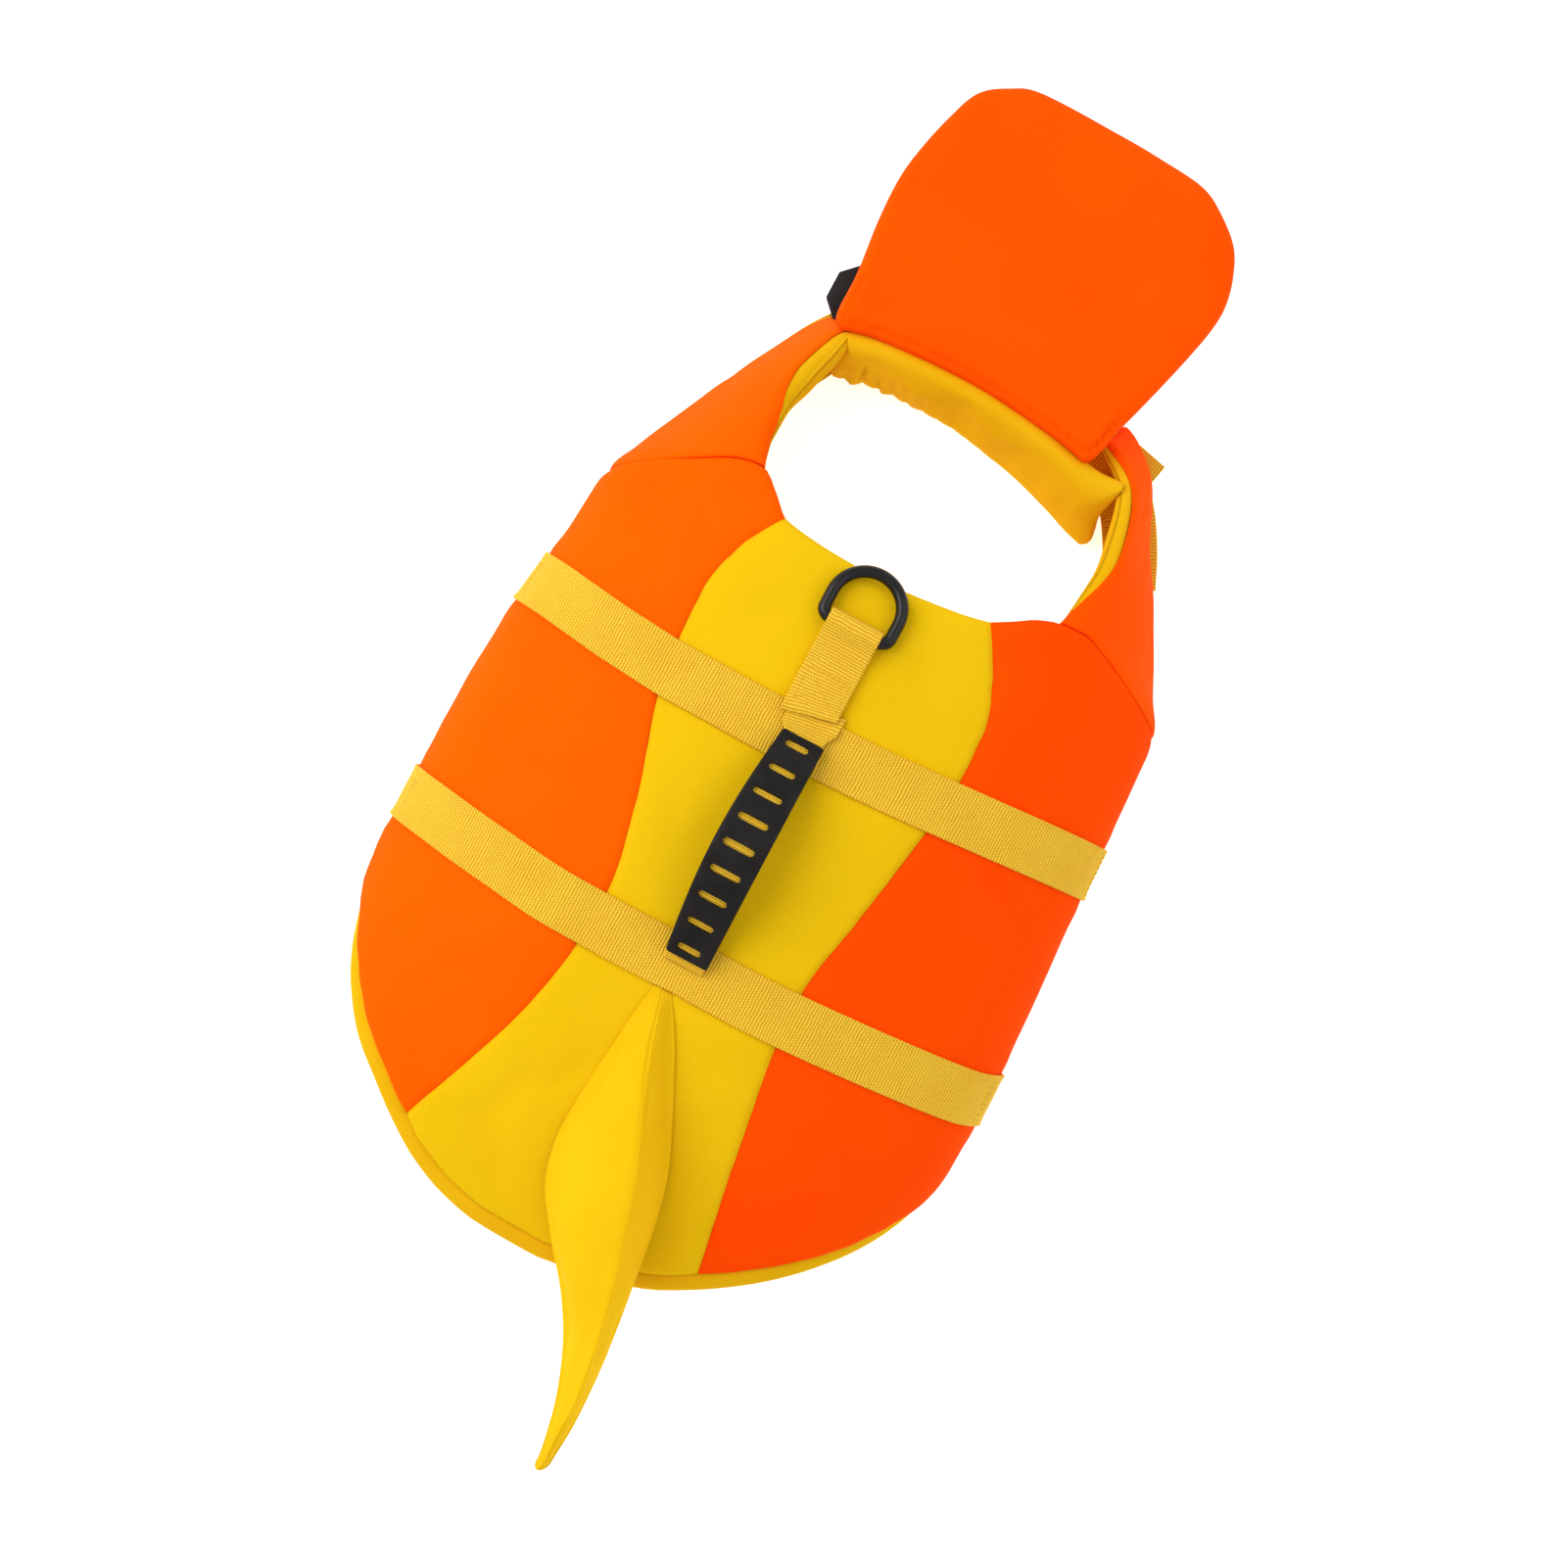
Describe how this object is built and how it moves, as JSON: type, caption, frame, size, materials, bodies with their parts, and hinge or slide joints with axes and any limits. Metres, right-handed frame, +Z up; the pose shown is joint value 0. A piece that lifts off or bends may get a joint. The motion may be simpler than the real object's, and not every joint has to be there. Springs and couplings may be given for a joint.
{
  "type": "dog life jacket",
  "caption": "Padded dog life jacket with a ring collar, chin float, stuffed tail, grab handle and lead ring, buckled shut.",
  "frame": {"origin": "bottom centre of the jacket's bounding box, where it stands on a surface", "axes": "+Z up out of the back, +Y towards the head end, +X towards the wearer's right"},
  "size_m": [0.3044, 0.6628, 0.1377],
  "materials": {
    "orange_cloth": "matt woven polyester",
    "yellow_cloth": "matt woven polyester over foam",
    "yellow_webbing": "matt woven webbing",
    "rubber": "matt moulded rubber",
    "black_plastic": "satin acetal",
    "black_coated_steel": "satin black coating"
  },
  "bodies": {
    "jacket": {"lined_foam_body": "yellow_cloth", "back_panel_center": "yellow_cloth", "side_panel_left": "orange_cloth", "side_panel_right": "orange_cloth", "collar_arm_left": "orange_cloth", "collar_arm_right": "orange_cloth", "collar_lining_left": "yellow_cloth", "collar_lining_right": "yellow_cloth", "throat_pad": "yellow_cloth", "chin_float": "orange_cloth", "front_strap": "yellow_webbing", "rear_strap": "yellow_webbing", "neck_strap_left": "yellow_webbing", "neck_strap_right": "yellow_webbing", "neck_strap_cross": "yellow_webbing", "ring_tab": "yellow_webbing", "handle_webbing": "yellow_webbing", "handle_grip": "rubber", "tail_left": "yellow_cloth", "tail_right": "yellow_cloth", "front_buckle_socket": "black_plastic", "front_buckle_prong": "black_plastic", "rear_buckle_socket": "black_plastic", "rear_buckle_prong": "black_plastic", "neck_buckle_socket": "black_plastic", "neck_buckle_prong": "black_plastic"},
    "ring": {"lead_ring": "black_coated_steel"}
  },
  "joints": [
    {"name": "lead_ring_swing", "type": "hinge", "parent": "jacket", "child": "ring", "pos_m": [-0.00452, 0.06605, 0.10947], "axis": [1, 0, 0], "range_deg": [0, 165]}
  ]
}
